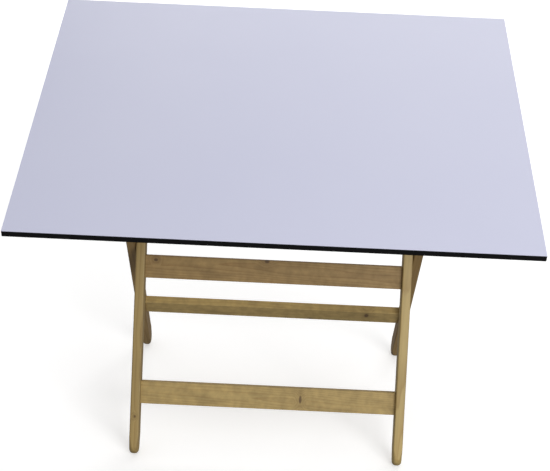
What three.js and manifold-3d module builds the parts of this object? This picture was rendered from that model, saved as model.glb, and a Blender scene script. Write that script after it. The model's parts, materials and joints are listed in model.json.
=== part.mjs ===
// A folding drafting table: a laminated board on two crossed pine frames.
// Millimetres and degrees, +Z up. The front of the table faces -Y and X runs across it.
// The origin is on the floor, under the middle of the table.
import * as THREE from 'three';
import { ConvexGeometry } from 'three/addons/geometries/ConvexGeometry.js';
import { mergeVertices } from 'three/addons/utils/BufferGeometryUtils.js';
import Module from 'manifold-3d';

const wasm = await Module();
wasm.setup();

// ---- driving dimensions -------------------------------------------------------------------
const BOARD = { width: 1000, depth: 800, tilt: 13.7, frontY: -176, frontZ: 627 };
const LAYER = { laminate: 1.2, core: 10.8, backing: 0.8, band: 1.0 };
const GAP = 0.3;                                    // between pieces that touch
const LEG = { thick: 20, wide: 38 };
const FOOT = { fillet: 8, shoulder: 26 };           // shoulder: where the full section begins
const FRONT = { lean: 23.3, spacing: 570 };         // inner frame: feet at the front
const REAR = { lean: 31.8, spacing: 613, footY: 432 }; // outer frame: feet at the back
const RAIL = { thick: 18, high: 48.8 };
const UPPER_RAIL_AT = 391;                          // along the front legs, from the foot centre
const LOWER_RAIL_AT = 117.5;
const REAR_RAIL_AT = 179.5;                         // along the rear legs
const DOWEL = { radius: 10, hole: 10.3 };
const ROD_DEPTH = 34;                               // hinge rod's centre below the top surface
const BAR_DEPTH = 38;                               // prop bar's centre below the top surface
const BATTEN = { thick: 20, high: 40, middle: 255, front: 80, back: 705 };
const NOTCH = { count: 3, pitch: 50, radius: 10.6, slope: 45 };
const BATTEN_SCREWS_AT = [93, 290, 560, 680];       // from the board's front edge
const BATTEN_SCREW = { head: 4, shank: 2, cone: 3, length: 46.5 };
const RAIL_SCREW = { head: 4, shank: 2, cone: 3, length: 45, apart: 26 };
const BAR_SCREW = { head: 3.4, shank: 1.7, cone: 2.6, length: 24 };
const PIVOT = { head: 7.5, headThick: 1.7, sleeve: 4, bore: 3.3, shank: 3, shankLength: 26 };
const WASHER = { outer: 11, thick: 0.9 };
const HOLE_GAP = 0.3;                               // round a screw or sleeve in its hole
const ARC_STEPS = 20;
const FILLET_STEPS = 5;
const ROUND_STEPS = 24;
const SMALL_STEPS = 16;

// ---- worked out from the dimensions --------------------------------------------------------
const radians = THREE.MathUtils.degToRad;
const tilt = radians(BOARD.tilt);
const frontLean = radians(FRONT.lean);
const rearLean = radians(REAR.lean);
const footRadius = LEG.wide / 2;
const sideAngle = Math.sin(frontLean + rearLean);
const frontPivotAt = REAR.footY * Math.cos(rearLean) / sideAngle;
const rearPivotAt = REAR.footY * Math.cos(frontLean) / sideAngle;
const drop = (footRadius - BOARD.frontZ) * Math.cos(tilt);
const rodAt = (-ROD_DEPTH - BOARD.frontY * Math.sin(tilt) - drop) / Math.cos(frontLean + tilt);
const barRise = (REAR.footY - BOARD.frontY) * Math.sin(tilt) - drop;
const barAt = (-BAR_DEPTH + barRise) / Math.cos(rearLean - tilt);
const coreTop = -(LAYER.laminate + GAP);
const backingTop = coreTop - LAYER.core - GAP;
const underside = backingTop - LAYER.backing;
const battenTop = underside - GAP;
const battenBottom = battenTop - BATTEN.high;
const backY = BOARD.frontY + BOARD.depth * Math.cos(tilt) - underside * Math.sin(tilt);
const middleY = (BOARD.frontY + backY) / 2;

// How far behind the board's front edge a point of the floor frame lies, along the board.
function alongBoard(y, z) {
  return (y - BOARD.frontY) * Math.cos(tilt) + (z - BOARD.frontZ) * Math.sin(tilt);
}
const rodAlong = alongBoard(rodAt * Math.sin(frontLean), footRadius + rodAt * Math.cos(frontLean));
const barY = REAR.footY - barAt * Math.sin(rearLean);
const barAlong = alongBoard(barY, footRadius + barAt * Math.cos(rearLean));

// ---- materials --------------------------------------------------------------------------
function finish(color, roughness, metalness = 0) {
  return new THREE.MeshStandardMaterial({ color, roughness, metalness });
}
const whiteLaminate = () => finish(0xdcdcea, 0.28);
const brownBacking = () => finish(0x8d7458, 0.7);
const chipboard = () => finish(0xb08d5c, 0.85);
const blackEdging = () => finish(0x0c0c0e, 0.4);
const pine = () => finish(0xb3995f, 0.5);
const pineRail = () => finish(0x8f7246, 0.5);
const steel = () => finish(0xb9bbbf, 0.35, 0.9);

// ---- shape helpers ------------------------------------------------------------------------
// Extrudes an outline drawn in (Y, Z) along X, centred on x = 0.
function acrossX(outline, width) {
  const options = { depth: width, bevelEnabled: false, curveSegments: ARC_STEPS };
  const shape = new THREE.ExtrudeGeometry(outline, options);
  shape.translate(0, 0, -width / 2);
  const turn = new THREE.Matrix4().makeBasis(
    new THREE.Vector3(0, 1, 0),
    new THREE.Vector3(0, 0, 1),
    new THREE.Vector3(1, 0, 0),
  );
  return shape.applyMatrix4(turn);
}

function rodAlongX(radius, length, steps = ROUND_STEPS) {
  return new THREE.CylinderGeometry(radius, radius, length, steps).rotateZ(-Math.PI / 2);
}

// Turns a closed (radius, distance) profile about the Y axis.
function turned(profile, steps = SMALL_STEPS) {
  const points = profile.map(([r, h]) => new THREE.Vector2(r, h));
  return new THREE.LatheGeometry(points, steps);
}

// A countersunk screw: its head's flat top is at 0 and its point at -length.
function screwShape({ head, shank, cone, length }, grow = 0) {
  return turned([
    [0, -length - grow],
    [shank * 0.4, -length - grow],
    [shank + grow, -length + shank * 2],
    [shank + grow, -cone],
    [head + grow, 0],
    [head + grow, grow],
    [0, grow],
  ]);
}

function solid(geometry) {
  const bare = geometry.clone();
  bare.deleteAttribute('normal');
  bare.deleteAttribute('uv');
  const merged = mergeVertices(bare, 1e-4);
  return new wasm.Manifold(new wasm.Mesh({
    numProp: 3,
    vertProperties: Float32Array.from(merged.attributes.position.array),
    triVerts: Uint32Array.from(merged.index.array),
  }));
}

function surfaceOf(body) {
  const mesh = body.getMesh();
  const result = new THREE.BufferGeometry();
  result.setAttribute('position', new THREE.BufferAttribute(mesh.vertProperties, 3));
  result.setIndex(new THREE.BufferAttribute(mesh.triVerts, 1));
  return result;
}

function drilled(geometry, tools) {
  return surfaceOf(tools.reduce((body, tool) => body.subtract(solid(tool)), solid(geometry)));
}

const frames = { table: new THREE.Group() };
function addMesh(frame, name, geometry, material) {
  geometry.computeVertexNormals();
  const mesh = new THREE.Mesh(geometry, material);
  mesh.name = name;
  frame.add(mesh);
}

const SIDES = [['left', -1], ['right', 1]];

// ---- the three tilted frames of reference ----------------------------------------------------
function addFrame(y, z, turn) {
  const group = new THREE.Group();
  group.position.set(0, y - middleY, z);
  group.rotation.x = turn;
  frames.table.add(group);
  return group;
}
const boardFrame = addFrame(BOARD.frontY, BOARD.frontZ, tilt);
const frontFrame = addFrame(0, footRadius, -frontLean);
const rearFrame = addFrame(REAR.footY, footRadius, rearLean);

// ---- screws and the holes they need ----------------------------------------------------------
// A screw that enters a leg from its outer side (+X or -X) towards the middle.
function sideScrew(size, side, outerX, z, grow = 0) {
  const shape = screwShape(size, grow).rotateZ(-side * Math.PI / 2);
  return shape.translate(side * (outerX - GAP), 0, z);
}

// A screw that enters the batten from below.
function battenScrew(side, along, grow = 0) {
  const shape = screwShape(BATTEN_SCREW, grow).rotateX(-Math.PI / 2);
  return shape.translate(side * BATTEN.middle, along, battenBottom + GAP);
}

// A screw that enters a rear leg's back edge and holds the prop bar.
function barScrew(side, grow = 0) {
  return screwShape(BAR_SCREW, grow).translate(side * REAR.spacing / 2, footRadius - GAP, barAt);
}

// ---- board --------------------------------------------------------------------------------
function slab(width, depth, thick, top) {
  const shape = new THREE.BoxGeometry(width, depth, thick);
  return shape.translate(0, BOARD.depth / 2, top - thick / 2);
}

function addBoard() {
  const inset = 2 * (LAYER.band + GAP);
  const width = BOARD.width - inset;
  const depth = BOARD.depth - inset;
  const holes = SIDES.flatMap(([, side]) =>
    BATTEN_SCREWS_AT.map((along) => battenScrew(side, along, HOLE_GAP)));
  const sheet = slab(BOARD.width, BOARD.depth, LAYER.laminate, 0);
  const core = slab(width, depth, LAYER.core, coreTop);
  const backing = slab(width, depth, LAYER.backing, backingTop);
  addMesh(boardFrame, 'top_laminate', sheet, whiteLaminate());
  addMesh(boardFrame, 'board_core', drilled(core, holes), chipboard());
  addMesh(boardFrame, 'backing_sheet', drilled(backing, holes), brownBacking());

  const bandHigh = coreTop - underside;
  const bandZ = coreTop - bandHigh / 2;
  for (const [name, y] of [['front', LAYER.band / 2], ['back', BOARD.depth - LAYER.band / 2]]) {
    const strip = new THREE.BoxGeometry(BOARD.width, LAYER.band, bandHigh).translate(0, y, bandZ);
    addMesh(boardFrame, `edge_band_${name}`, strip, blackEdging());
  }
  for (const [name, side] of SIDES) {
    const x = side * (BOARD.width - LAYER.band) / 2;
    const strip = new THREE.BoxGeometry(LAYER.band, depth, bandHigh);
    addMesh(boardFrame, `edge_band_${name}`, strip.translate(x, BOARD.depth / 2, bandZ), blackEdging());
  }
}

// ---- battens: the board's bearers, with the rod's hole and the bar's notches -----------------
// Each notch has an upright front wall that holds the bar and a sloping back that lets it out.
function battenOutline() {
  const slope = radians(NOTCH.slope);
  const outline = new THREE.Shape();
  outline.moveTo(BATTEN.front, battenTop);
  outline.lineTo(BATTEN.front, (battenTop + battenBottom) / 2);
  outline.lineTo(BATTEN.front + BATTEN.high / 4, battenBottom);
  for (let i = NOTCH.count - 1; i >= 0; i -= 1) {
    const middle = barAlong - i * NOTCH.pitch;
    const slopeTop = -BAR_DEPTH + NOTCH.radius * Math.cos(slope);
    const slopeRun = (slopeTop - battenBottom) / Math.tan(slope);
    outline.lineTo(middle - NOTCH.radius, battenBottom);
    outline.absarc(middle, -BAR_DEPTH, NOTCH.radius, Math.PI, Math.PI / 2 - slope, true);
    outline.lineTo(middle + NOTCH.radius * Math.sin(slope) + slopeRun, battenBottom);
  }
  outline.lineTo(BATTEN.back - BATTEN.high / 2, battenBottom);
  outline.lineTo(BATTEN.back, (battenTop + battenBottom) / 2);
  outline.lineTo(BATTEN.back, battenTop);
  return outline;
}

function addBattens() {
  for (const [name, side] of SIDES) {
    const middle = side * BATTEN.middle;
    const bar = acrossX(battenOutline(), BATTEN.thick).translate(middle, 0, 0);
    const bore = rodAlongX(DOWEL.hole, BATTEN.thick * 2).translate(middle, rodAlong, -ROD_DEPTH);
    const holes = BATTEN_SCREWS_AT.map((along) => battenScrew(side, along, HOLE_GAP));
    addMesh(boardFrame, `batten_${name}`, drilled(bar, [bore, ...holes]), pine());
    BATTEN_SCREWS_AT.forEach((along, i) => {
      addMesh(boardFrame, `batten_screw_${name}_${i + 1}`, battenScrew(side, along), steel());
    });
  }
}

// ---- legs, rails and dowels ----------------------------------------------------------------
// A leg is convex: a domed foot, shoulders where the full section begins, and a half-round head.
function legBlank(length) {
  const half = LEG.thick / 2;
  const points = [];
  const addPair = (x, y, z) => points.push(new THREE.Vector3(x, y, z), new THREE.Vector3(-x, y, z));
  for (let i = 0; i <= ARC_STEPS; i += 1) {
    const angle = Math.PI * i / ARC_STEPS;
    addPair(half, footRadius * Math.cos(angle), length + footRadius * Math.sin(angle));
    for (let j = 0; j <= FILLET_STEPS; j += 1) {
      const turn = Math.PI / 2 * j / FILLET_STEPS;
      const reach = footRadius - FOOT.fillet * (1 - Math.cos(turn));
      const x = half - FOOT.fillet * (1 - Math.sin(turn));
      addPair(x, reach * Math.cos(angle), -reach * Math.sin(angle));
    }
  }
  addPair(half, footRadius, FOOT.shoulder);
  addPair(half, -footRadius, FOOT.shoulder);
  return new ConvexGeometry(points);
}

function railScrewHeights(railAt) {
  return [railAt - RAIL_SCREW.apart / 2, railAt + RAIL_SCREW.apart / 2];
}

function addLegs(frame, prefix, spacing, length, dowelHole, pivotAt, railsAt) {
  const outer = (spacing + LEG.thick) / 2;
  const pivotHole = PIVOT.sleeve + HOLE_GAP;
  for (const [name, side] of SIDES) {
    const middle = side * spacing / 2;
    const blank = legBlank(length).translate(middle, 0, 0);
    const tools = [
      rodAlongX(dowelHole, LEG.thick * 2).translate(middle, 0, length),
      rodAlongX(pivotHole, LEG.thick * 2).translate(middle, 0, pivotAt),
    ];
    for (const z of railsAt.flatMap(railScrewHeights)) {
      tools.push(sideScrew(RAIL_SCREW, side, outer, z, HOLE_GAP));
    }
    if (frame === rearFrame) {
      tools.push(barScrew(side, HOLE_GAP));
    }
    addMesh(frame, `${prefix}_leg_${name}`, drilled(blank, tools), pine());
  }
}

function addRail(frame, name, spacing, railAt, material) {
  const length = spacing - LEG.thick - 2 * GAP;
  const outer = (spacing + LEG.thick) / 2;
  const blank = new THREE.BoxGeometry(length, RAIL.thick, RAIL.high).translate(0, 0, railAt);
  const heights = railScrewHeights(railAt);
  const holes = SIDES.flatMap(([, side]) =>
    heights.map((z) => sideScrew(RAIL_SCREW, side, outer, z, HOLE_GAP)));
  addMesh(frame, name, drilled(blank, holes), material);
  for (const [sideName, side] of SIDES) {
    heights.forEach((z, i) => {
      const screw = sideScrew(RAIL_SCREW, side, outer, z);
      addMesh(frame, `${name}_screw_${sideName}_${i + 1}`, screw, steel());
    });
  }
}

function addFrontFrame() {
  const railsAt = [UPPER_RAIL_AT, LOWER_RAIL_AT];
  addLegs(frontFrame, 'front', FRONT.spacing, rodAt, DOWEL.hole, frontPivotAt, railsAt);
  addRail(frontFrame, 'upper_rail', FRONT.spacing, UPPER_RAIL_AT, pineRail());
  addRail(frontFrame, 'lower_rail', FRONT.spacing, LOWER_RAIL_AT, pine());
  const rodLength = FRONT.spacing + LEG.thick - 2 * GAP;
  addMesh(frontFrame, 'hinge_rod', rodAlongX(DOWEL.radius, rodLength).translate(0, 0, rodAt), pine());
}

function addRearFrame() {
  addLegs(rearFrame, 'rear', REAR.spacing, barAt, DOWEL.hole, rearPivotAt, [REAR_RAIL_AT]);
  addRail(rearFrame, 'rear_rail', REAR.spacing, REAR_RAIL_AT, pineRail());
  const barLength = REAR.spacing + LEG.thick;
  const blank = rodAlongX(DOWEL.radius, barLength).translate(0, 0, barAt);
  const holes = SIDES.map(([, side]) => barScrew(side, HOLE_GAP));
  addMesh(rearFrame, 'prop_bar', drilled(blank, holes), pine());
  for (const [name, side] of SIDES) {
    addMesh(rearFrame, `prop_bar_screw_${name}`, barScrew(side), steel());
  }
}

// ---- pivots: a flat-headed bolt screwed into a sleeve nut, with a washer between the legs ------
function addPivots() {
  const outerFace = (REAR.spacing + LEG.thick) / 2 + GAP;
  const innerFace = (FRONT.spacing - LEG.thick) / 2 - GAP;
  const between = ((FRONT.spacing + REAR.spacing) / 2) / 2;
  const dome = PIVOT.headThick / 2;
  const bolt = [
    [0, -PIVOT.shankLength],
    [PIVOT.shank, -PIVOT.shankLength],
    [PIVOT.shank, 0],
    [PIVOT.head, 0],
    [PIVOT.head, dome],
    [PIVOT.head * 0.6, PIVOT.headThick],
    [0, PIVOT.headThick],
  ];
  const sleeveEnd = innerFace - outerFace + GAP;
  const sleeve = [
    [0, -PIVOT.headThick],
    [PIVOT.bore, -PIVOT.headThick],
    [PIVOT.bore, sleeveEnd],
    [PIVOT.sleeve, sleeveEnd],
    [PIVOT.sleeve, 0],
    [PIVOT.head, 0],
    [PIVOT.head, dome],
    [PIVOT.head * 0.6, PIVOT.headThick],
    [0, PIVOT.headThick],
  ];
  const washerHole = PIVOT.sleeve + HOLE_GAP;
  const ring = [
    [washerHole, -WASHER.thick / 2],
    [WASHER.outer, -WASHER.thick / 2],
    [WASHER.outer, WASHER.thick / 2],
    [washerHole, WASHER.thick / 2],
    [washerHole, -WASHER.thick / 2],
  ];
  for (const [name, side] of SIDES) {
    const outward = -side * Math.PI / 2;
    const place = (profile, x, turn) =>
      turned(profile, ROUND_STEPS).rotateZ(turn).translate(side * x, 0, frontPivotAt);
    addMesh(frontFrame, `pivot_bolt_${name}`, place(bolt, outerFace, outward), steel());
    addMesh(frontFrame, `pivot_sleeve_${name}`, place(sleeve, innerFace, -outward), steel());
    addMesh(frontFrame, `pivot_washer_${name}`, place(ring, between, outward), steel());
  }
}

addBoard();
addBattens();
addFrontFrame();
addRearFrame();
addPivots();

export default frames.table;
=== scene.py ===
# %% [markdown]
# # A folding drafting table
# A white laminated board lies on two crossed pine frames. The frames, screws and dowels were
# designed first and loaded here as a fixed frame. This lesson gives each piece the surface that a
# maker would give it: eased edges, grain, knots, a waxed dowel, a satin board.
# Loading comes first, because every later place and size is read from those parts.

# %% Load the designed parts
import json
import math

import bmesh
import bpy
from mathutils import Matrix, Vector


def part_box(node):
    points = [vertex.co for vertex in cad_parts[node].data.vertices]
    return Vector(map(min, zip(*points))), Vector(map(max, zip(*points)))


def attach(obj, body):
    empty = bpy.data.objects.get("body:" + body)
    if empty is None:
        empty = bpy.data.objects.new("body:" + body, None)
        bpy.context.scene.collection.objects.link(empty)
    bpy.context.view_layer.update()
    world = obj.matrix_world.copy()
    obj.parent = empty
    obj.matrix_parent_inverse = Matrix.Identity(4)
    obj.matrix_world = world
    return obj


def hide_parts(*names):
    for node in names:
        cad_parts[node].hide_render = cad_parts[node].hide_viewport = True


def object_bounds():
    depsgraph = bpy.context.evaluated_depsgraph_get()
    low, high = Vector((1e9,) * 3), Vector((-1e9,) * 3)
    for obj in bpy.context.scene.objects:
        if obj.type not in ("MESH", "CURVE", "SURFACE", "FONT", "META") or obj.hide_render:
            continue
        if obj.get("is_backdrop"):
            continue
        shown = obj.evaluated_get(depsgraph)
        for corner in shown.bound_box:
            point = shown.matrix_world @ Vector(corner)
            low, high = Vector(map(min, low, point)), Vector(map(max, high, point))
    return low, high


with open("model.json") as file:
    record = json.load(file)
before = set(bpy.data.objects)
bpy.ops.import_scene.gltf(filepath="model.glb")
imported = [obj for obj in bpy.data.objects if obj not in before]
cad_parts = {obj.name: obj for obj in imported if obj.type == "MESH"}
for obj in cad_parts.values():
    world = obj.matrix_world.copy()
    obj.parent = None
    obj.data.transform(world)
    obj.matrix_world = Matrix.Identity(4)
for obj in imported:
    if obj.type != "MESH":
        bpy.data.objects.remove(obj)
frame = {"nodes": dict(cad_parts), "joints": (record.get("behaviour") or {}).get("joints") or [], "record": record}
cad_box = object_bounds()
MM = 0.001
X_AXIS = Vector((1, 0, 0))

# %% [markdown]
# Wood grain runs along each stick, so every stick needs to know its own direction.
# The frames are leaning, and a direction typed in by hand would be wrong as soon as a size changed.
# So the directions are worked out from the pivot, the two dowels and the board's own face.

# %% Find how each frame leans
def middle(node):
    low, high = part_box(node)
    return (low + high) / 2


def from_pivot(node):
    along = middle(node) - pivot_point
    along.x = 0
    return along.normalized()


joints = {joint["name"]: joint for joint in frame["joints"]}
pivot_point = Vector(joints["leg_fold"]["pos_m"])
board_normal = Vector(frame["record"]["mounts"][0]["axis"]).normalized()
AXES = {
    "front": (X_AXIS, X_AXIS.cross(-from_pivot("hinge_rod")), from_pivot("hinge_rod")),
    "rear": (X_AXIS, X_AXIS.cross(-from_pivot("prop_bar")), from_pivot("prop_bar")),
    "board": (X_AXIS, board_normal, board_normal.cross(X_AXIS)),
}
for name, (_, _, direction) in AXES.items():
    print(name, "direction", [round(value, 3) for value in direction])

# %% [markdown]
# Materials are small networks of nodes. Two helpers keep them readable: one adds a node with its
# inputs, the other adds a piece of arithmetic. They work for shader trees and geometry trees alike.

# %% Node helpers
def add(tree, kind, inputs=None, **settings):
    made = tree.nodes.new(kind)
    for name, value in settings.items():
        setattr(made, name, value)
    for name, value in (inputs or {}).items():
        socket = made.inputs[name]
        if isinstance(value, bpy.types.NodeSocket):
            tree.links.new(value, socket)
        else:
            socket.default_value = value
    return made


def calc(tree, operation, first, second=0.0, third=0.0, clamp=False):
    inputs = {0: first, 1: second, 2: third}
    made = add(tree, "ShaderNodeMath", inputs, operation=operation, use_clamp=clamp)
    return made.outputs[0]


def vector_calc(tree, operation, first, second=(0, 0, 0)):
    made = add(tree, "ShaderNodeVectorMath", {0: first, 1: second}, operation=operation)
    return made.outputs["Value" if operation == "LENGTH" else "Vector"]


def blend_colour(tree, amount, first, second, mode="MIX"):
    inputs = {"Factor": amount, 6: first, 7: second}
    made = add(tree, "ShaderNodeMix", inputs, data_type="RGBA", blend_type=mode)
    return made.outputs[2]


def ramp(tree, value, stops):
    made = add(tree, "ShaderNodeValToRGB", {"Fac": value})
    points = made.color_ramp.elements
    while len(points) < len(stops):
        points.new(0.5)
    for point, (place, grey) in zip(points, stops):
        point.position = place
        point.color = (grey, grey, grey, 1)
    return made.outputs["Color"]


def fade(tree, value, near, far):
    """1 up to near, falling smoothly to 0 at far."""
    inputs = {"Value": value, "From Min": near, "From Max": far, "To Min": 1.0, "To Max": 0.0}
    return add(tree, "ShaderNodeMapRange", inputs, interpolation_type="SMOOTHSTEP").outputs[0]


def noise(tree, vector, scale, detail=2.0, rough=0.5):
    inputs = {"Vector": vector, "Scale": scale, "Detail": detail, "Roughness": rough}
    return add(tree, "ShaderNodeTexNoise", inputs).outputs["Fac"]


def new_material(name, **values):
    made = bpy.data.materials.new(name)
    made.use_nodes = True
    shader = made.node_tree.nodes["Principled BSDF"]
    for socket, value in values.items():
        shader.inputs[socket.replace("_", " ")].default_value = value
    return made, made.node_tree, shader


def add_bump(tree, shader, height, distance, strength=1.0):
    inputs = {"Height": height, "Distance": distance, "Strength": strength}
    bump = add(tree, "ShaderNodeBump", inputs)
    tree.links.new(bump.outputs["Normal"], shader.inputs["Normal"])

# %% [markdown]
# Pine is a solid material: its rings are shells around the tree's centre, and a sawn face only cuts
# through them. So the pattern is a distance from a centre line beside the stick, wobbled by noise
# and cut into rings. Each ring darkens slowly and ends sharply. On a face cut near the centre this
# gives arches, on a face cut across it gives stripes, and on a rounded foot it gives end grain,
# all from one rule. Every stick carries its own grain coordinates, so no two show the same figure.

# %% Pine
RING = 0.0042
FIBRE_DEPTH, STREAK_DEPTH, CLOUD_DEPTH = 0.26, 0.30, 0.28
KNOT_DEPTH, KNOT_BROWN = 0.78, (0.085, 0.036, 0.011, 1)
# This brown marks real dirt on the worn edges, and also paints contact shade on the bottom of each foot.
DIRT_AND_FOOT_SHADE_DEPTH, DIRT_AND_FOOT_SHADE_BROWN = 0.6, (0.075, 0.048, 0.025, 1)
GRAIN = "grain"
WORN = "worn"


def knot_fields(tree, place, knots):
    """Nearness to each knot: how dark it is there, and how far the rings are pushed aside."""
    dark, push = 0.0, 0.0
    for centre, radius, seen_along in knots:
        squeeze = Vector((1, 1, 0.72)) - Vector(seen_along)
        offset = vector_calc(tree, "SUBTRACT", place, centre)
        apart = vector_calc(tree, "LENGTH", vector_calc(tree, "MULTIPLY", offset, squeeze))
        dark = calc(tree, "MAXIMUM", dark, fade(tree, apart, radius * 0.55, radius * 1.15))
        push = calc(tree, "ADD", push, fade(tree, apart, 0.0, radius * 4.5))
    return dark, push


def pine(name, early, late, heart, knots=(), lean=0.012, gloss=0.46, paint_foot_shade=False):
    """Varnished pine. heart is the tree's centre beside the stick, and lean is how it drifts."""
    made, tree, shader = new_material(name, Roughness=gloss, Coat_Weight=0.08)
    shader.inputs["Coat Roughness"].default_value = 0.25
    place = add(tree, "ShaderNodeAttribute", attribute_name=GRAIN).outputs["Vector"]
    worn = add(tree, "ShaderNodeAttribute", attribute_name=WORN).outputs["Fac"]
    dark, push = knot_fields(tree, place, knots)

    slow = vector_calc(tree, "MULTIPLY", place, (1, 1, 0.16))
    wobble = calc(tree, "MULTIPLY", calc(tree, "SUBTRACT", noise(tree, slow, 16, 3), 0.5), 0.018)
    parts = add(tree, "ShaderNodeSeparateXYZ", {"Vector": place}).outputs
    drift = calc(tree, "MULTIPLY", parts["Z"], lean)
    side = calc(tree, "SUBTRACT", parts["X"], heart[0])
    across = calc(tree, "ADD", calc(tree, "SUBTRACT", parts["Y"], heart[1]), drift)
    flat = add(tree, "ShaderNodeCombineXYZ", {"X": side, "Y": across}).outputs[0]
    distance = calc(tree, "ADD", vector_calc(tree, "LENGTH", flat), wobble)
    distance = calc(tree, "ADD", distance, calc(tree, "MULTIPLY", push, RING * 2.2))
    ring = calc(tree, "FRACT", calc(tree, "DIVIDE", distance, RING))
    late_wood = ramp(tree, ring, [(0.0, 0.05), (0.35, 0.14), (0.72, 0.5), (0.9, 1.0), (0.97, 0.1)])

    fine = vector_calc(tree, "MULTIPLY", place, (1, 1, 0.018))
    fibre = noise(tree, fine, 1500, 3, 0.65)
    streak = noise(tree, vector_calc(tree, "MULTIPLY", place, (1, 1, 0.05)), 170, 2)
    broad = noise(tree, vector_calc(tree, "MULTIPLY", place, (1, 1, 0.35)), 22, 3)

    colour = blend_colour(tree, calc(tree, "MULTIPLY", late_wood, 0.62), early, late)
    shade = calc(tree, "MULTIPLY_ADD", calc(tree, "SUBTRACT", fibre, 0.5), FIBRE_DEPTH, 1.0)
    shade = calc(tree, "MULTIPLY_ADD", calc(tree, "SUBTRACT", streak, 0.5), STREAK_DEPTH, shade)
    shade = calc(tree, "MULTIPLY_ADD", calc(tree, "SUBTRACT", broad, 0.5), CLOUD_DEPTH, shade)
    colour = blend_colour(tree, 1.0, colour, shade, "MULTIPLY")
    halo = calc(tree, "MULTIPLY", push, 0.34, clamp=True)
    colour = blend_colour(tree, halo, colour, (*(0.62 * v for v in late[:3]), 1))
    knot = calc(tree, "MULTIPLY", dark, KNOT_DEPTH)
    colour = blend_colour(tree, knot, colour, KNOT_BROWN)
    # The bottom of each foot is darkened with the dirt colour: partly dirt, partly painted contact shade where it
    # meets the floor.
    if paint_foot_shade:
        worn = calc(tree, "MAXIMUM", worn, fade(tree, parts["Z"], -0.018, -0.004))
    patchy = calc(tree, "ADD", noise(tree, place, 60, 3), 0.1)
    dirt_and_foot_shade = calc(tree, "MULTIPLY", worn, patchy, clamp=True)
    colour = blend_colour(tree, calc(tree, "MULTIPLY", dirt_and_foot_shade, DIRT_AND_FOOT_SHADE_DEPTH), colour, DIRT_AND_FOOT_SHADE_BROWN)
    tree.links.new(colour, shader.inputs["Base Color"])

    rough = calc(tree, "MULTIPLY_ADD", fibre, 0.16, gloss - 0.08)
    rough = calc(tree, "MULTIPLY_ADD", dirt_and_foot_shade, 0.25, rough)
    tree.links.new(rough, shader.inputs["Roughness"])
    height = calc(tree, "MULTIPLY_ADD", late_wood, 0.5, fibre)
    add_bump(tree, shader, height, 0.00012, 0.7)
    return made


# A light pine: the lower rail's own tone, and on the rear rail also painted light.
CREAM_AND_PAINTED_LIGHT = ((0.69, 0.50, 0.185, 1), (0.49, 0.30, 0.092, 1))
PALE = ((0.53, 0.39, 0.148, 1), (0.345, 0.21, 0.058, 1))
HONEY = ((0.425, 0.303, 0.113, 1), (0.275, 0.16, 0.043, 1))
# A darker pine for the rear legs: painted shade, as they stand behind the front legs and under the board.
AMBER_PAINTED_SHADE = ((0.32, 0.205, 0.072, 1), (0.205, 0.11, 0.03, 1))
BROWN = ((0.53, 0.345, 0.125, 1), (0.33, 0.177, 0.048, 1))
ALONG_GRAIN_Y = (0, 1, 0)
ALONG_GRAIN_X = (1, 0, 0)
print("pine ring width", RING / MM, "mm")

# %% [markdown]
# The board is a melamine laminate: nearly white with a cool cast, hard and slightly glossy, with a
# very fine pearl in its surface. Years of rulers and palms leave it a little duller in patches, so
# the roughness varies slowly and a few faint hairline scratches cross it.

# %% Laminate, edging and sheet materials
def board_laminate():
    made, tree, shader = new_material("cool_white_laminate", IOR=1.5)
    place = add(tree, "ShaderNodeTexCoord").outputs["Object"]
    cloud = noise(tree, place, 2.2, 3)
    speck = noise(tree, place, 900, 2)
    colour = blend_colour(tree, cloud, (0.655, 0.67, 0.845, 1), (0.70, 0.712, 0.872, 1))
    shade = calc(tree, "MULTIPLY_ADD", speck, 0.05, 0.975)
    colour = blend_colour(tree, 1.0, colour, shade, "MULTIPLY")
    tree.links.new(colour, shader.inputs["Base Color"])
    hair = vector_calc(tree, "MULTIPLY", place, (9, 340, 340))
    scratch = ramp(tree, noise(tree, hair, 1.0, 1), [(0.0, 0.0), (0.7, 0.0), (0.76, 1.0)])
    smear = noise(tree, place, 7, 3)
    rough = calc(tree, "MULTIPLY_ADD", smear, 0.1, 0.27)
    rough = calc(tree, "MULTIPLY_ADD", scratch, 0.05, rough)
    tree.links.new(rough, shader.inputs["Roughness"])
    add_bump(tree, shader, calc(tree, "ADD", speck, scratch), 0.00002, 0.5)
    return made


def black_edging():
    made, tree, shader = new_material("black_edging", IOR=1.3)
    place = add(tree, "ShaderNodeTexCoord").outputs["Object"]
    grainy = noise(tree, place, 1100, 2)
    rubbed = ramp(tree, noise(tree, place, 38, 4, 0.6), [(0.0, 0.0), (0.62, 0.0), (0.8, 1.0)])
    colour = blend_colour(tree, rubbed, (0.002, 0.002, 0.0025, 1), (0.012, 0.012, 0.013, 1))
    tree.links.new(colour, shader.inputs["Base Color"])
    tree.links.new(calc(tree, "MULTIPLY_ADD", rubbed, 0.15, 0.55), shader.inputs["Roughness"])
    add_bump(tree, shader, grainy, 0.00005, 0.6)
    return made


def pressed_board(name, light, deep, chip_size):
    """Particle board or hardboard: chips or felted fibres pressed flat."""
    made, tree, shader = new_material(name, Roughness=0.8)
    place = add(tree, "ShaderNodeTexCoord").outputs["Object"]
    chips = add(tree, "ShaderNodeTexVoronoi", {"Vector": place, "Scale": 1 / chip_size})
    fleck = noise(tree, chips.outputs["Color"], 3.0, 2)
    felt = noise(tree, place, 420, 4, 0.7)
    colour = blend_colour(tree, calc(tree, "ADD", calc(tree, "MULTIPLY", fleck, 0.7),
                                     calc(tree, "MULTIPLY", felt, 0.3)), light, deep)
    tree.links.new(colour, shader.inputs["Base Color"])
    tree.links.new(calc(tree, "MULTIPLY_ADD", felt, 0.2, 0.66), shader.inputs["Roughness"])
    add_bump(tree, shader, felt, 0.0002, 0.6)
    return made


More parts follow.
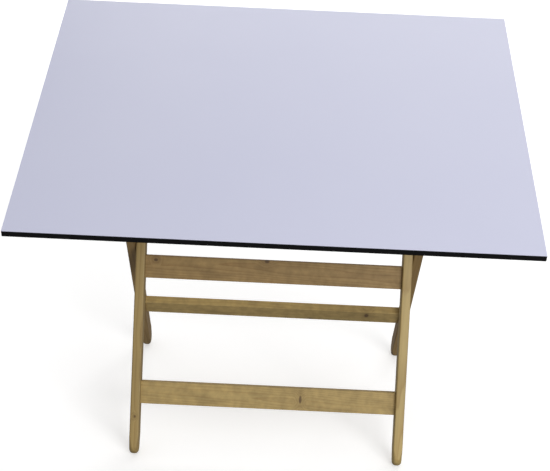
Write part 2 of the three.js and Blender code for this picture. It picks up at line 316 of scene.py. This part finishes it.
def zinc_steel():
    made, tree, shader = new_material("zinc_steel", Metallic=1.0)
    place = add(tree, "ShaderNodeTexCoord").outputs["Object"]
    bloom = noise(tree, place, 240, 4, 0.65)
    colour = blend_colour(tree, bloom, (0.44, 0.45, 0.47, 1), (0.70, 0.70, 0.69, 1))
    tree.links.new(colour, shader.inputs["Base Color"])
    tree.links.new(calc(tree, "MULTIPLY_ADD", bloom, 0.3, 0.2), shader.inputs["Roughness"])
    add_bump(tree, shader, noise(tree, place, 2600, 2), 0.00003, 0.5)
    return made


laminate = board_laminate()
edging = black_edging()
chipboard = pressed_board("chipboard", (0.47, 0.34, 0.18, 1), (0.26, 0.16, 0.07, 1), 0.003)
hardboard = pressed_board("brown_backing", (0.24, 0.15, 0.085, 1), (0.13, 0.078, 0.04, 1), 0.0012)
steel = zinc_steel()
finishes = (laminate, edging, chipboard, hardboard, steel)
print("sheet and metal materials:", [finish.name for finish in finishes])

# %% [markdown]
# A sawn and planed stick never has knife edges: a maker eases them so that they don't splinter.
# The designed solid already has the right size and the right screw holes, so a copy of it is
# merged, its flat faces are joined up, and only the outer edges are rounded. The rims of the holes
# stay crisp, as a countersink leaves them. Rounding the copy keeps every place exactly as designed.

# %% Ease the edges of a designed stick
def merged(node):
    made = bmesh.new()
    made.from_mesh(frame["nodes"][node].data)
    bmesh.ops.remove_doubles(made, verts=made.verts, dist=1e-6)
    bmesh.ops.dissolve_limit(
        made, angle_limit=math.radians(1.5), verts=made.verts, edges=made.edges)
    return made


def is_rim(edge, holes):
    """True if both ends lie on a hole's wall, seen along the hole's own direction."""
    for centre, direction, radius in holes:
        ends = [(v.co - centre) - (v.co - centre).project(direction) for v in edge.verts]
        if all(end.length < radius for end in ends):
            return True
    return False


def eased(node, amount, steps, holes=(), sharp=math.radians(25)):
    made = merged(node)
    edges = [
        edge for edge in made.edges
        if len(edge.link_faces) == 2
        and edge.calc_face_angle(0) > sharp
        and not is_rim(edge, holes)
    ]
    bmesh.ops.bevel(
        made, geom=edges, offset=amount, segments=steps, profile=0.5,
        affect="EDGES", clamp_overlap=True, loop_slide=False)
    return made


def weigh_normals(mesh, smooth):
    """Lets each flat face keep its own direction, so that only the eased edges look round."""
    limit = math.cos(smooth)
    facing = [face.normal.copy() for face in mesh.polygons]
    areas = [face.area for face in mesh.polygons]
    around = [[] for _ in mesh.vertices]
    for face in mesh.polygons:
        for vertex in face.vertices:
            around[vertex].append(face.index)
    normals = []
    for face in mesh.polygons:
        for vertex in face.vertices:
            near = [k for k in around[vertex] if facing[k].dot(facing[face.index]) > limit]
            normals.append(sum((facing[k] * areas[k] for k in near), Vector()).normalized())
    mesh.normals_split_custom_set(normals)


def as_piece(name, made, material, smooth=math.radians(40)):
    mesh = bpy.data.meshes.new(name)
    made.normal_update()
    made.to_mesh(mesh)
    made.free()
    mesh.materials.clear()
    mesh.materials.append(material)
    mesh.shade_smooth()
    mesh.set_sharp_from_angle(angle=smooth)
    weigh_normals(mesh, smooth)
    piece = bpy.data.objects.new(name, mesh)
    bpy.context.scene.collection.objects.link(piece)
    return piece


def add_grain(piece, axes, start):
    """Stores each point's place in its stick: sideways, across and along, from the start."""
    field = piece.data.attributes.new(GRAIN, "FLOAT_VECTOR", "POINT")
    values = []
    for vertex in piece.data.vertices:
        offset = vertex.co - start
        values.extend([offset.dot(axis) for axis in axes])
    field.data.foreach_set("vector", values)


def add_wear(piece, axes, strength=1.0):
    """1 on the eased edges and the rounded ends, 0 on the flats."""
    field = piece.data.attributes.new(WORN, "FLOAT", "POINT")
    values = []
    for vertex in piece.data.vertices:
        squareness = max(abs(vertex.normal.dot(axis)) for axis in axes)
        values.append(strength * min(1.0, max(0.0, (1 - squareness) * 4)))
    field.data.foreach_set("value", values)


def finish_piece(piece, body, nodes):
    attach(piece, body)
    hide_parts(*nodes)
    print(piece.name, len(piece.data.polygons), "faces on", body)
    return piece

# %% [markdown]
# ## The legs
# Each leg is a 20 by 38 mm pine strip with a domed foot and a half-round head. Holes for the
# screws, the pivot and the dowel go through it sideways, and their rims are left out of the easing.
# The front of a leg is its narrow face, so a knot there is a small oval that shows from in front.
# Real sticks come from different boards, so each leg has its own heart and its own knots.

# %% Make the four legs
LEG_WIDE = 38 * MM
# How far from a hole's middle its rim still lies. Rims this near are left out of the easing.
SIDE_SCREW_RIM, DOWEL_RIM = 5.2, 12
PIVOT_RIM, SMALL_SCREW_RIM = 6 * MM, 5.5 * MM


def holes_across(nodes_and_radii):
    return [(middle(node), X_AXIS, radius * MM) for node, radius in nodes_and_radii]


def screw_names(rail, side):
    return [(f"{rail}_screw_{side}_{number}", SIDE_SCREW_RIM) for number in (1, 2)]


def leg_holes(kind, side):
    if kind == "front":
        names = screw_names("upper_rail", side) + screw_names("lower_rail", side)
        return holes_across(names + [("hinge_rod", DOWEL_RIM)]) + [(pivot_point, X_AXIS, PIVOT_RIM)]
    names = screw_names("rear_rail", side)
    holes = holes_across(names + [("prop_bar", DOWEL_RIM)]) + [(pivot_point, X_AXIS, PIVOT_RIM)]
    screw = f"prop_bar_screw_{side}"
    return holes + [(middle(screw), AXES["rear"][1], SMALL_SCREW_RIM)]


LEG_LOOKS = {
    ("front", "left"): {"tone": HONEY, "heart": (0.021, -0.052), "knots": [
        ((0.0005, 0.0, 0.066), 0.0022, ALONG_GRAIN_Y),
        ((0.004, 0.0, 0.345), 0.0028, ALONG_GRAIN_X)]},
    ("front", "right"): {"tone": PALE, "heart": (-0.004, 0.062), "knots": [
        ((0.002, 0.0, 0.468), 0.0036, ALONG_GRAIN_Y),
        ((0.0, 0.006, 0.222), 0.0042, ALONG_GRAIN_X)]},
    # The rear legs' darker tone is painted shade, not a different wood.
    ("rear", "left"): {"tone": AMBER_PAINTED_SHADE, "heart": (0.03, 0.044), "knots": [
        ((0.0, -0.004, 0.31), 0.0045, ALONG_GRAIN_X)]},
    ("rear", "right"): {"tone": AMBER_PAINTED_SHADE, "heart": (-0.026, -0.05), "knots": [
        ((0.0, 0.005, 0.122), 0.004, ALONG_GRAIN_X)]},
}


def foot_centre(kind, side):
    """The middle of the leg's rounded foot: where its grain coordinates start."""
    low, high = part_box(f"{kind}_leg_{side}")
    along = AXES[kind][2]
    radius = low.z + LEG_WIDE / 2
    drop = (pivot_point.z - radius) / along.z
    return Vector(((low.x + high.x) / 2, pivot_point.y, pivot_point.z)) - along * drop


LEG_EASING = 2.6 * MM
for (kind, side), look in LEG_LOOKS.items():
    name = f"{kind}_leg_{side}"
    wood = pine(f"pine_{name}", *look["tone"], look["heart"], look["knots"], paint_foot_shade=True)
    made = eased(name, LEG_EASING, 3, leg_holes(kind, side))
    leg = as_piece(f"{name}_stick", made, wood)
    add_grain(leg, AXES[kind], foot_centre(kind, side))
    add_wear(leg, AXES[kind])
    finish_piece(leg, f"{kind}_frame", [name])

# %% [markdown]
# ## The rails
# Three flat rails stop the frames from racking. They are wider boards sawn from nearer the side of
# the log, so their faces show arches rather than straight stripes: the heart lies just behind the
# face. Only their four long edges are eased, because their ends butt against the legs.

# %% Make the three rails
def eased_bar(node, amount, steps, length=0.1):
    made = merged(node)
    edges = []
    for edge in made.edges:
        along = edge.verts[1].co - edge.verts[0].co
        straight = abs(along.normalized().x) > 0.99 and along.length > length
        if straight and edge.calc_face_angle(0) > 0.5:
            edges.append(edge)
    bmesh.ops.bevel(made, geom=edges, offset=amount, segments=steps, profile=0.5, affect="EDGES")
    return made


RAIL_LOOKS = {
    "upper_rail": {"frame": "front", "tone": BROWN, "heart": (-0.024, 0.006),
        "lean": 0.03, "knots": [
        ((0.0, 0.015, -0.2525), 0.0034, (1, 0, 0)), ((0.0, 0.022, -0.015), 0.004, (1, 0, 0))]},
    "lower_rail": {"frame": "front", "tone": CREAM_AND_PAINTED_LIGHT, "heart": (-0.02, -0.004),
        "lean": 0.05, "knots": [
        ((0.0, 0.0, 0.07), 0.0024, (1, 0.75, 0))]},
    # The rear rail's light cream tone is partly painted light: it makes up for the little light that reaches its
    # down-facing front.
    "rear_rail": {"frame": "rear", "tone": CREAM_AND_PAINTED_LIGHT, "heart": (-0.018, -0.012),
        "lean": 0.02, "knots": [
        ((0.0, 0.008, 0.22), 0.0042, (1, 0.6, 0)),
        ((0.0, -0.022, -0.104), 0.003, (1, 0, 0)), ((0.0, -0.022, 0.09), 0.003, (1, 0, 0))]},
}
for name, look in RAIL_LOOKS.items():
    _, back, up = AXES[look["frame"]]
    grain_axes = (back, up, X_AXIS)
    wood = pine(f"pine_{name}", *look["tone"], look["heart"], look["knots"], look["lean"])
    rail = as_piece(f"{name}_board", eased_bar(name, 1.6 * MM, 3), wood)
    add_grain(rail, grain_axes, middle(name))
    add_wear(rail, grain_axes)
    finish_piece(rail, f"{look['frame']}_frame", [name])

# %% [markdown]
# ## The battens
# Two battens run under the board. Their notches are worked hard by the prop bar, so the designed
# outline is kept and its edges get only a small chamfer. The rims of the rod's hole and of the
# screw holes stay crisp.

# %% Make the two battens
ROD_RIM = 11.2 * MM


def batten_holes(side):
    names = [f"batten_screw_{side}_{number}" for number in (1, 2, 3, 4)]
    screws = [(middle(node), board_normal, SMALL_SCREW_RIM) for node in names]
    return screws + [(middle("hinge_rod"), X_AXIS, ROD_RIM)]


for side, heart in (("left", (0.018, -0.04)), ("right", (-0.022, 0.046))):
    name = f"batten_{side}"
    wood = pine(f"pine_{name}", *PALE, heart)
    batten = as_piece(f"{name}_bearer", eased(name, 1.0 * MM, 2, batten_holes(side)), wood)
    add_grain(batten, AXES["board"], middle(name))
    add_wear(batten, AXES["board"])
    finish_piece(batten, "board", [name])

# %% [markdown]
# ## The dowels
# A dowel is turned, not sawn: it is round, a little uneven along its length, and chamfered at both
# ends so that it finds its hole. That is a rule, so a geometry tree makes it. A line is resampled,
# the distance to the nearer end sets the chamfer, slow noise sets the unevenness, and a circle is
# swept along it. The tree's inputs are the sizes a turner would ask for.

# %% A geometry tree for a turned dowel
def new_tree(name, inputs):
    tree = bpy.data.node_groups.new(name, "GeometryNodeTree")
    tree.interface.new_socket("Geometry", in_out="INPUT", socket_type="NodeSocketGeometry")
    for label, kind, value in inputs:
        socket = tree.interface.new_socket(label, in_out="INPUT", socket_type=kind)
        if value is not None:
            socket.default_value = value
    tree.interface.new_socket("Geometry", in_out="OUTPUT", socket_type="NodeSocketGeometry")
    start = tree.nodes.new("NodeGroupInput")
    end = tree.nodes.new("NodeGroupOutput")
    return tree, start.outputs, end.inputs


def grown(name, tree, values, material, source=None):
    """Runs a geometry tree once and returns the result as a plain mesh piece."""
    mesh = source or bpy.data.meshes.new(name)
    holder = bpy.data.objects.new(name, mesh)
    bpy.context.scene.collection.objects.link(holder)
    modifier = holder.modifiers.new("grow", "NODES")
    modifier.node_group = tree
    sockets = {s.name: s.identifier for s in tree.interface.items_tree if s.in_out == "INPUT"}
    for label, value in values.items():
        modifier[sockets[label]] = value
    modifier[sockets["Material"]] = material
    bpy.context.view_layer.update()
    graph = bpy.context.evaluated_depsgraph_get()
    result = bpy.data.meshes.new_from_object(holder.evaluated_get(graph))
    holder.modifiers.remove(modifier)
    holder.data = result
    result.name = name
    return holder


DOWEL_STEPS, DOWEL_SIDES = 520, 40


def dowel_tree():
    tree, given, out = new_tree("turned_dowel", [
        ("Radius", "NodeSocketFloat", 0.01),
        ("Length", "NodeSocketFloat", 0.6),
        ("Chamfer", "NodeSocketFloat", 0.0015),
        ("Unevenness", "NodeSocketFloat", 0.00012),
        ("Material", "NodeSocketMaterial", None),
    ])
    half = calc(tree, "DIVIDE", given["Length"], 2.0)
    left = add(tree, "ShaderNodeCombineXYZ", {"X": calc(tree, "MULTIPLY", half, -1.0)}).outputs[0]
    right = add(tree, "ShaderNodeCombineXYZ", {"X": half}).outputs[0]
    line = add(tree, "GeometryNodeCurvePrimitiveLine", {"Start": left, "End": right}).outputs[0]
    steps = add(tree, "GeometryNodeResampleCurve", {"Curve": line, "Count": DOWEL_STEPS}).outputs[0]
    place = add(tree, "GeometryNodeInputPosition").outputs[0]
    x_now = add(tree, "ShaderNodeSeparateXYZ", {"Vector": place}).outputs["X"]
    to_end = calc(tree, "SUBTRACT", half, calc(tree, "ABSOLUTE", x_now))
    short = calc(tree, "SUBTRACT", given["Chamfer"], to_end)
    short = calc(tree, "MAXIMUM", short, 0.0)
    wave = calc(tree, "SUBTRACT", noise(tree, place, 9.0, 2), 0.5)
    turned = calc(tree, "MULTIPLY_ADD", wave, given["Unevenness"], given["Radius"])
    radius = calc(tree, "SUBTRACT", turned, short)
    circle_inputs = {"Radius": 1.0, "Resolution": DOWEL_SIDES}
    circle = add(tree, "GeometryNodeCurvePrimitiveCircle", circle_inputs).outputs["Curve"]
    shaped = add(tree, "GeometryNodeSetCurveRadius", {"Curve": steps, "Radius": radius}).outputs[0]
    sweep = add(tree, "GeometryNodeCurveToMesh", {
        "Curve": shaped, "Profile Curve": circle, "Fill Caps": True})
    if "Scale" in sweep.inputs:
        tree.links.new(radius, sweep.inputs["Scale"])
    real = add(tree, "GeometryNodeRealizeInstances", {"Geometry": sweep.outputs[0]}).outputs[0]
    painted = add(tree, "GeometryNodeSetMaterial", {
        "Geometry": real, "Material": given["Material"]}).outputs[0]
    tree.links.new(painted, out["Geometry"])
    return tree


turned_dowel = dowel_tree()
print("turned dowel tree:", len(turned_dowel.nodes), "nodes")

# %% Grow the hinge rod and the prop bar
def tidy_mesh(piece, smooth=math.radians(40)):
    made = bmesh.new()
    made.from_mesh(piece.data)
    bmesh.ops.remove_doubles(made, verts=made.verts, dist=1e-7)
    bmesh.ops.recalc_face_normals(made, faces=made.faces)
    made.to_mesh(piece.data)
    made.free()
    piece.data.shade_smooth()
    piece.data.set_sharp_from_angle(angle=smooth)


DOWELS = {"hinge_rod": ("front", "hinge_rod"), "prop_bar": ("rear", "rear_frame")}
for node, (kind, body) in DOWELS.items():
    low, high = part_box(node)
    wood = pine(f"dowel_{node}", *PALE, (0.004, 0.019), gloss=0.36)
    sizes = {"Radius": (high.z - low.z) / 2 - 0.06 * MM, "Length": high.x - low.x}
    dowel = grown(f"{node}_dowel", turned_dowel, sizes, wood)
    dowel.data.transform(Matrix.Translation(middle(node)))
    tidy_mesh(dowel)
    _, back, up = AXES[kind]
    grain_axes = (back, up, X_AXIS)
    add_grain(dowel, grain_axes, middle(node))
    add_wear(dowel, grain_axes, 0.0)
    finish_piece(dowel, body, [node])

# %% [markdown]
# ## The board
# The board is a sandwich: a chipboard core, a white laminate on top, a brown sheet below and a thin
# black band round the edge. Seen from in front, the laminate's rim shows as a fine light line above
# the band. Its corners are cut square, so only a hair of softness is added where the sheet was
# trimmed. The sheets are built from the designed outline with a narrow bevel, not redrawn.

# %% Make the sheets and the edging
def sheet_piece(node, name, material, amount, steps=2):
    made = eased(node, amount, steps, sharp=math.radians(60))
    piece = as_piece(name, made, material)
    return finish_piece(piece, "board", [node])


sheet_piece("top_laminate", "drawing_surface", laminate, 0.35 * MM)
sheet_piece("backing_sheet", "backing_panel", hardboard, 0.15 * MM)
for side in ("front", "back", "left", "right"):
    sheet_piece(f"edge_band_{side}", f"edging_{side}", edging, 0.22 * MM)
core = frame["nodes"]["board_core"]
core.data.materials.clear()
core.data.materials.append(chipboard)
print("core keeps its designed shape, in", chipboard.name)

# %% [markdown]
# ## The screws
# Twenty-two countersunk screws hold the rails, the battens and the prop bar. They are all one
# shape at different sizes and places, which is what Geometry Nodes are for. The tree stacks
# cones into a head and a shank, cuts a cross recess, and sets a copy on each point of a
# small mesh. Each point carries the direction its screw faces. A seed turns every recess
# differently, because nobody stops a screw at a chosen angle.

# %% A geometry tree for countersunk screws
def lathe(tree, points, sides):
    """Stacks one cone for each step of the profile and closes both ends."""
    join = add(tree, "GeometryNodeJoinGeometry")
    for (low_radius, low), (high_radius, high) in zip(points, points[1:]):
        tall = calc(tree, "SUBTRACT", high, low)
        cone = add(tree, "GeometryNodeMeshCone", {
            "Vertices": sides, "Radius Top": high_radius, "Radius Bottom": low_radius,
            "Depth": tall}, fill_type="NONE")
        lift = add(tree, "ShaderNodeCombineXYZ", {"Z": low}).outputs[0]
        moved = add(tree, "GeometryNodeTransform", {
            "Geometry": cone.outputs[0], "Translation": lift})
        tree.links.new(moved.outputs[0], join.inputs[0])
    for radius, height in (points[0], points[-1]):
        disc = add(tree, "GeometryNodeMeshCircle", {"Vertices": sides, "Radius": radius},
                   fill_type="NGON")
        lift = add(tree, "ShaderNodeCombineXYZ", {"Z": height}).outputs[0]
        moved = add(tree, "GeometryNodeTransform", {
            "Geometry": disc.outputs[0], "Translation": lift})
        tree.links.new(moved.outputs[0], join.inputs[0])
    return add(tree, "GeometryNodeMergeByDistance", {
        "Geometry": join.outputs[0], "Distance": 1e-6}).outputs[0]


def screw_tree():
    tree, given, out = new_tree("countersunk_screws", [
        ("Head Radius", "NodeSocketFloat", 0.004),
        ("Shank Radius", "NodeSocketFloat", 0.002),
        ("Cone", "NodeSocketFloat", 0.003),
        ("Length", "NodeSocketFloat", 0.045),
        ("Recess Depth", "NodeSocketFloat", 0.0016),
        ("Seed", "NodeSocketInt", 7),
        ("Material", "NodeSocketMaterial", None),
    ])
    head, shank = given["Head Radius"], given["Shank Radius"]
    tip = calc(tree, "MULTIPLY", given["Length"], -1.0)
    taper = calc(tree, "MULTIPLY_ADD", shank, 2.0, tip)
    neck = calc(tree, "MULTIPLY", given["Cone"], -1.0)
    point_radius = calc(tree, "MULTIPLY", shank, 0.3)
    rim = calc(tree, "MULTIPLY", head, 0.93)
    body = lathe(tree, [
        (point_radius, tip), (shank, taper), (shank, neck), (head, -0.00022), (rim, 0.0)], 28)
    wide = calc(tree, "MULTIPLY", head, 1.22)
    narrow = calc(tree, "MULTIPLY", head, 0.26)
    cross = add(tree, "GeometryNodeJoinGeometry")
    for sizes in ((wide, narrow), (narrow, wide)):
        size = add(tree, "ShaderNodeCombineXYZ", {
            "X": sizes[0], "Y": sizes[1],
            "Z": calc(tree, "MULTIPLY", given["Recess Depth"], 2.0)}).outputs[0]
        block = add(tree, "GeometryNodeMeshCube", {"Size": size}).outputs[0]
        tree.links.new(block, cross.inputs[0])
    recess = add(tree, "GeometryNodeMeshBoolean", {"Mesh 1": body, "Mesh 2": cross.outputs[0]},
                 operation="DIFFERENCE", solver="EXACT")
    recess.inputs["Self Intersection"].default_value = True
    spin = add(tree, "FunctionNodeRandomValue", {"Seed": given["Seed"]}, data_type="FLOAT")
    spin.inputs[3].default_value = math.pi
    facing = add(tree, "GeometryNodeInputNamedAttribute", {"Name": "facing"},
                 data_type="FLOAT_VECTOR").outputs[0]
    aim = add(tree, "FunctionNodeAlignRotationToVector", {"Vector": facing}, axis="Z").outputs[0]
    turn = add(tree, "ShaderNodeCombineXYZ", {"Z": spin.outputs[1]}).outputs[0]
    own = add(tree, "FunctionNodeEulerToRotation", {"Euler": turn}).outputs[0]
    both = add(tree, "FunctionNodeRotateRotation", {
        "Rotation": aim, "Rotate By": own}, rotation_space="LOCAL").outputs[0]
    placed = add(tree, "GeometryNodeInstanceOnPoints", {
        "Points": given["Geometry"], "Instance": recess.outputs["Mesh"], "Rotation": both})
    real = add(tree, "GeometryNodeRealizeInstances", {"Geometry": placed.outputs[0]}).outputs[0]
    painted = add(tree, "GeometryNodeSetMaterial", {
        "Geometry": real, "Material": given["Material"]}).outputs[0]
    tree.links.new(painted, out["Geometry"])
    return tree


countersunk = screw_tree()
print("countersunk screw tree:", len(countersunk.nodes), "nodes")

# %% Set the screws in their holes
def screw_points(name, screws):
    """A mesh with one point at the middle of each screw's head, facing out of the wood."""
    mesh = bpy.data.meshes.new(name)
    places, directions = [], []
    for node, facing in screws:
        corners = [v.co for v in frame["nodes"][node].data.vertices]
        heights = [corner.dot(facing) for corner in corners]
        top = [corner for corner, height in zip(corners, heights) if height > max(heights) - 1e-5]
        places.append(sum(top, Vector()) / len(top))
        directions.extend(facing)
    mesh.from_pydata(places, [], [])
    field = mesh.attributes.new("facing", "FLOAT_VECTOR", "POINT")
    field.data.foreach_set("vector", directions)
    return mesh


def rail_screws(rail):
    sides = (("left", -X_AXIS), ("right", X_AXIS))
    return [(f"{rail}_screw_{side}_{n}", facing) for side, facing in sides for n in (1, 2)]


underside = -board_normal
batten_screws = [(f"batten_screw_{side}_{n}", underside)
                 for side in ("left", "right") for n in (1, 2, 3, 4)]
bar_screws = [(f"prop_bar_screw_{side}", -AXES["rear"][1]) for side in ("left", "right")]
LONG_SCREW = {"Head Radius": 4 * MM, "Shank Radius": 2 * MM, "Cone": 3 * MM}
SCREW_SETS = {
    "front_frame_screws": ("front_frame", rail_screws("upper_rail") + rail_screws("lower_rail"),
                           {**LONG_SCREW, "Length": 45 * MM, "Seed": 11}),
    "rear_frame_screws": ("rear_frame", rail_screws("rear_rail"),
                          {**LONG_SCREW, "Length": 45 * MM, "Seed": 12}),
    "prop_bar_screws": ("rear_frame", bar_screws, {
        "Head Radius": 3.4 * MM, "Shank Radius": 1.7 * MM, "Cone": 2.6 * MM,
        "Length": 24 * MM, "Recess Depth": 1.3 * MM, "Seed": 13}),
    "board_screws": ("board", batten_screws, {**LONG_SCREW, "Length": 46.5 * MM, "Seed": 14}),
}
for name, (body, screws, sizes) in SCREW_SETS.items():
    points = screw_points(name + "_points", screws)
    screw_set = grown(name, countersunk, sizes, steel, points)
    tidy_mesh(screw_set, math.radians(30))
    finish_piece(screw_set, body, [node for node, _ in screws])

# %% [markdown]
# ## The pivots
# The frames turn on two bolts. Each bolt passes through both legs and is screwed into a sleeve
# nut from inside, with a washer between the legs. The designed shells are already turned solids
# with domed heads, so they get only a softened rim and the zinc finish.

# %% Finish the pivots
for side in ("left", "right"):
    for part, amount in (("bolt", 0.25), ("sleeve", 0.25), ("washer", 0.12)):
        node = f"pivot_{part}_{side}"
        made = eased(node, amount * MM, 2, sharp=math.radians(50))
        pivot = as_piece(f"pivot_{part}_finished_{side}", made, steel, math.radians(30))
        finish_piece(pivot, "front_frame", [node])

# %% [markdown]
# ## Floor, light and camera
# A pale floor, one large lamp in front and two weaker ones behind show the wood plainly: the front
# light reaches the rails under the board, while the inner sides and the undersides stay dark. A
# small lamp would leave hard highlights on the laminate. The floor glows a little and throws no
# light back, so that it stays pale without washing out those dark sides.

# %% Lay the floor
FLAT_REACH, SWEEP = 12.0, 8.0
FLOOR_SIDES, SWEEP_STEPS = 64, 12
floor_shape = bmesh.new()
hub = floor_shape.verts.new((0, 0, 0))
inner_ring = None
for step in range(SWEEP_STEPS + 1):
    climb = math.pi / 2 * step / SWEEP_STEPS
    reach = FLAT_REACH + SWEEP * math.sin(climb)
    height = SWEEP * (1 - math.cos(climb))
    turns = [2 * math.pi * k / FLOOR_SIDES for k in range(FLOOR_SIDES)]
    places = [(reach * math.cos(turn), reach * math.sin(turn), height) for turn in turns]
    ring = [floor_shape.verts.new(place) for place in places]
    for k in range(FLOOR_SIDES):
        following = (k + 1) % FLOOR_SIDES
        if inner_ring is None:
            floor_shape.faces.new((hub, ring[k], ring[following]))
        else:
            floor_shape.faces.new(
                (inner_ring[k], ring[k], ring[following], inner_ring[following]))
    inner_ring = ring
floor_mesh = bpy.data.meshes.new("studio_floor")
floor_shape.to_mesh(floor_mesh)
floor_shape.free()
floor_mesh.shade_smooth()
floor = bpy.data.objects.new("studio_floor", floor_mesh)
bpy.context.scene.collection.objects.link(floor)
floor_paint, _, _ = new_material(
    "floor_paint", Base_Color=(0.9, 0.9, 0.9, 1), Roughness=0.95,
    Emission_Color=(1, 1, 1, 1), Emission_Strength=0.4)
floor_mesh.materials.append(floor_paint)
floor.visible_diffuse = False
floor.visible_glossy = False
floor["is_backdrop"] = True
print("floor reaches", FLAT_REACH + SWEEP, "m and sweeps up to", SWEEP, "m")

# %% Hang the lamps
def soft_lamp(name, place, aim, size, power):
    lamp = bpy.data.lights.new(name, "AREA")
    lamp.shape = "RECTANGLE"
    lamp.size, lamp.size_y = size
    lamp.energy = power
    holder = bpy.data.objects.new(name, lamp)
    holder.location = place
    holder.rotation_euler = (Vector(aim) - Vector(place)).to_track_quat("-Z", "Y").to_euler()
    bpy.context.scene.collection.objects.link(holder)
    print(name, "at", place, power, "W")


TABLE_MIDDLE = (0, 0, 0.5)
soft_lamp("front_bank", (1.9, -3.3, 1.75), TABLE_MIDDLE, (2.2, 2.0), 88)
soft_lamp("back_bank", (0.8, 3.6, 3.3), TABLE_MIDDLE, (4.4, 2.4), 66)
soft_lamp("low_back_fill", (-2.2, 3.4, 0.7), TABLE_MIDDLE, (2.4, 1.2), 20)

# %% [markdown]
# The air around the table is bright above and dim below. A plain blend from one to the other, by
# height alone, does this, and it has no edge that could show up as a line in the laminate.

# %% Light the air
world = bpy.data.worlds.new("studio_air")
bpy.context.scene.world = world
world.use_nodes = True
sky = world.node_tree
ray = add(sky, "ShaderNodeTexCoord").outputs["Generated"]
height = add(sky, "ShaderNodeSeparateXYZ", {"Vector": ray}).outputs["Z"]
air_light = add(sky, "ShaderNodeMapRange", {
    "Value": height, "From Min": -0.1, "From Max": 0.5, "To Min": 0.2, "To Max": 0.5},
    interpolation_type="SMOOTHSTEP").outputs[0]
sky.links.new(air_light, sky.nodes["Background"].inputs["Strength"])
sky.nodes["Background"].inputs["Color"].default_value = (1, 1, 1, 1)
bpy.context.scene.view_settings.view_transform = "Standard"
print("air light blends by height in", world.name)

# %% [markdown]
# The camera stands in front, above the board and a little to the right of its middle, and looks
# down at it. Its directions are built from a heading, a downward pitch and a slight roll, as a
# hand-held camera would have.

# %% Place the camera
HEADING, PITCH, ROLL = (math.radians(angle) for angle in (0.33, 28.19, 2.489))
CAMERA_AT, FOCAL_LENGTH = (0.0133, -2.4454, 1.7452), 83.84
look = Vector((-math.sin(HEADING) * math.cos(PITCH),
               math.cos(HEADING) * math.cos(PITCH), -math.sin(PITCH)))
level = Vector((math.cos(HEADING), math.sin(HEADING), 0))
upright = level.cross(look)
right = level * math.cos(ROLL) + upright * math.sin(ROLL)
upright = right.cross(look)
lens = bpy.data.cameras.new("table_camera")
lens.sensor_width = 36.0
lens.lens = FOCAL_LENGTH
lens.dof.use_dof = False
camera = bpy.data.objects.new("table_camera", lens)
turn = Matrix((right, upright, -look)).transposed()
camera.matrix_world = Matrix.Translation(CAMERA_AT) @ turn.to_4x4()
bpy.context.scene.collection.objects.link(camera)
bpy.context.scene.camera = camera
print("camera at", CAMERA_AT, "with a", FOCAL_LENGTH, "mm lens")

# %% [markdown]
# The last step prints the finished table's box beside the designed one. The surfaces may add detail, but
# they may not change its size.

# %% Print both sizes and finish
seen_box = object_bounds()
sizes = {
    "cad": [list(corner) for corner in cad_box],
    "visual": [list(corner) for corner in seen_box],
}
print("designed box", [[round(v, 4) for v in corner] for corner in cad_box])
print("finished box", [[round(v, 4) for v in corner] for corner in seen_box])
